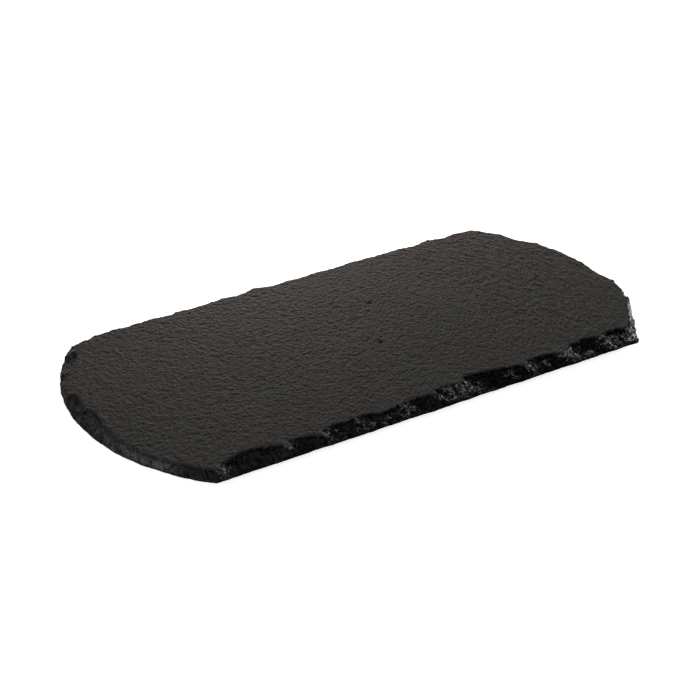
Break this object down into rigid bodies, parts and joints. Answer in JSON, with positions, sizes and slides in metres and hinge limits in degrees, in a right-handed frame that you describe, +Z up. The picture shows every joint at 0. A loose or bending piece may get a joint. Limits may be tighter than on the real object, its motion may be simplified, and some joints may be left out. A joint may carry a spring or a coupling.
{
  "type": "serving board",
  "caption": "Flat slab of dark riven slate with straight sides, bowed ends and hand-chipped sloping edges, on stuck-on rubber feet, for serving food.",
  "frame": {"origin": "centre of the board's outline, on the table that the feet stand on", "axes": "+X along the board to the viewer's right, +Y from the front edge to the back edge, +Z up"},
  "size_m": [0.302, 0.149, 0.0073],
  "materials": {
    "slate": "riven natural slate, lightly oiled, with darker broken edges",
    "rubber": "moulded matt black rubber",
    "adhesive": "translucent acrylic adhesive film"
  },
  "bodies": {
    "root": {"slate_slab": "slate", "foot_front_left": "rubber", "adhesive_front_left": "adhesive", "foot_front_right": "rubber", "adhesive_front_right": "adhesive", "foot_back_left": "rubber", "adhesive_back_left": "adhesive", "foot_back_right": "rubber", "adhesive_back_right": "adhesive"}
  },
  "joints": []
}
